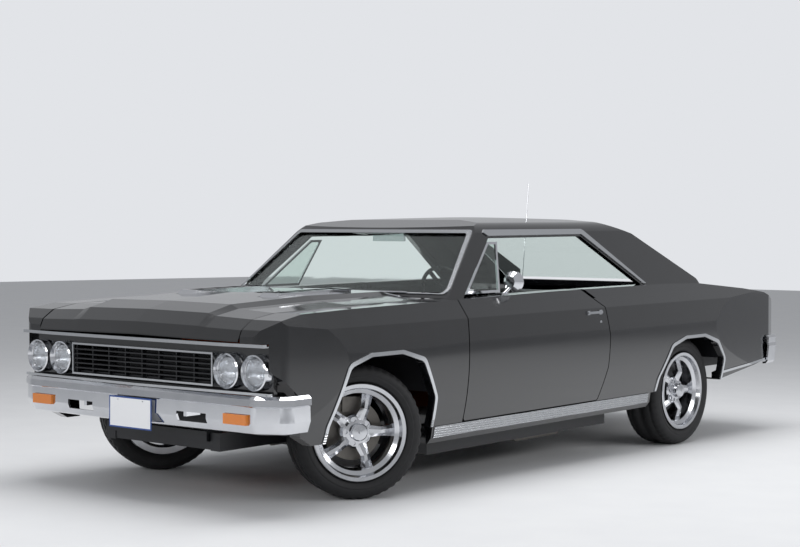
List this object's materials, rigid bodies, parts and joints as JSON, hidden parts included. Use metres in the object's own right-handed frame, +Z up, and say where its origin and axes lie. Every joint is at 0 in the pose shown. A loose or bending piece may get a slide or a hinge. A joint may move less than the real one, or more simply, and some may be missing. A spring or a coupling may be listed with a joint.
{
  "type": "two-door hardtop muscle car",
  "caption": "Full-size two-door hardtop muscle car with opening doors, hood and trunk lid, steered front wheels and five-spoke wheels.",
  "frame": {"origin": "on the ground at the centre of the car's bounding box", "axes": "-Y to the front of the car, +X to its left, +Z up"},
  "size_m": [1.9398, 5.009, 1.6675],
  "materials": {
    "body_paint": "gloss",
    "chrome": "polished",
    "bright_trim": "polished",
    "frame_paint": "satin",
    "dash_vinyl": "satin",
    "engine_paint": "satin",
    "exhaust_steel": "satin",
    "floor_paint": "matte",
    "plate_white": "satin",
    "seat_vinyl": "satin",
    "tank_steel": "satin",
    "grille_black": "satin",
    "lamp_glass": "gloss",
    "amber_lens": "gloss",
    "red_lens": "gloss",
    "window_glass": "gloss",
    "wheel_black": "gloss",
    "polished_alloy": "polished",
    "tyre_rubber": "matte",
    "cast_iron": "matte"
  },
  "bodies": {
    "body": {"aerial": "chrome", "chassis_frame": "frame_paint", "cowl_firewall": "body_paint", "dashboard": "dash_vinyl", "engine": "engine_paint", "exhaust": "exhaust_steel", "floor_pan": "floor_paint", "front_bumper": "chrome", "front_fenders": "body_paint", "front_mouldings": "bright_trim", "front_plate": "plate_white", "front_seats": "seat_vinyl", "front_suspension": "frame_paint", "fuel_tank": "tank_steel", "gearbox_shaft": "tank_steel", "grille": "grille_black", "headlamp_bezels": "chrome", "headlamp_lenses": "lamp_glass", "inside_mirror": "chrome", "nose_panel": "body_paint", "parking_lamps": "amber_lens", "radiator": "frame_paint", "rear_axle": "frame_paint", "rear_bumper": "chrome", "rear_glass": "window_glass", "rear_quarters": "body_paint", "rear_seat": "seat_vinyl", "rear_shelf": "dash_vinyl", "roof": "body_paint", "side_mouldings": "bright_trim", "sills": "body_paint", "steering_wheel": "wheel_black", "tail_lamps": "red_lens", "wheelhouses": "frame_paint", "window_frames": "bright_trim", "windscreen": "window_glass", "wipers": "bright_trim"},
    "door_left": {"door_left": "body_paint", "vent_glass_left": "window_glass", "door_fittings_left": "chrome"},
    "door_right": {"door_right": "body_paint", "vent_glass_right": "window_glass", "door_fittings_right": "chrome"},
    "hood": {"hood": "body_paint", "hood_louvres": "chrome"},
    "trunk_lid": {"trunk_lid": "body_paint"},
    "knuckle_left": {"knuckle_left": "cast_iron"},
    "knuckle_right": {"knuckle_right": "cast_iron"},
    "wheel_front_left": {"wheel_front_left": "polished_alloy", "tyre_front_left": "tyre_rubber"},
    "wheel_front_right": {"wheel_front_right": "polished_alloy", "tyre_front_right": "tyre_rubber"},
    "wheel_rear_left": {"wheel_rear_left": "polished_alloy", "tyre_rear_left": "tyre_rubber"},
    "wheel_rear_right": {"wheel_rear_right": "polished_alloy", "tyre_rear_right": "tyre_rubber"}
  },
  "joints": [
    {"name": "steer_left", "type": "hinge", "parent": "body", "child": "knuckle_left", "pos_m": [0.69, -1.68, 0.33], "axis": [0, 0, 1], "range_deg": [-3, 63]},
    {"name": "steer_right", "type": "hinge", "parent": "body", "child": "knuckle_right", "pos_m": [-0.69, -1.68, 0.33], "axis": [0, 0, 1], "range_deg": [-3, 63]},
    {"name": "spin_front_left", "type": "hinge", "parent": "knuckle_left", "child": "wheel_front_left", "pos_m": [0.72897, -1.7025, 0.33], "axis": [0.866, -0.5, 0], "continuous": true},
    {"name": "spin_front_right", "type": "hinge", "parent": "knuckle_right", "child": "wheel_front_right", "pos_m": [-0.72897, -1.6575, 0.33], "axis": [0.866, -0.5, 0], "continuous": true},
    {"name": "spin_rear_left", "type": "hinge", "parent": "body", "child": "wheel_rear_left", "pos_m": [0.752, 1.241, 0.336], "axis": [1, 0, 0], "continuous": true},
    {"name": "spin_rear_right", "type": "hinge", "parent": "body", "child": "wheel_rear_right", "pos_m": [-0.752, 1.241, 0.336], "axis": [1, 0, 0], "continuous": true},
    {"name": "door_left_hinge", "type": "hinge", "parent": "body", "child": "door_left", "pos_m": [0.953, -1.0612, 0.63488], "axis": [0, -0.0143, 0.9999], "range_deg": [-65, 0]},
    {"name": "door_right_hinge", "type": "hinge", "parent": "body", "child": "door_right", "pos_m": [-0.953, -1.0612, 0.63488], "axis": [0, -0.0143, 0.9999], "range_deg": [0, 65]},
    {"name": "hood_hinge", "type": "hinge", "parent": "body", "child": "hood", "pos_m": [0, -1.14448, 1.00372], "axis": [1, 0, 0], "range_deg": [-50, 0]},
    {"name": "trunk_hinge", "type": "hinge", "parent": "body", "child": "trunk_lid", "pos_m": [0, 1.48276, 1.00532], "axis": [1, 0, 0], "range_deg": [0, 65]}
  ],
  "couplings": [
    {"joint": "steer_right", "follows": "steer_left", "ratio": 1}
  ]
}
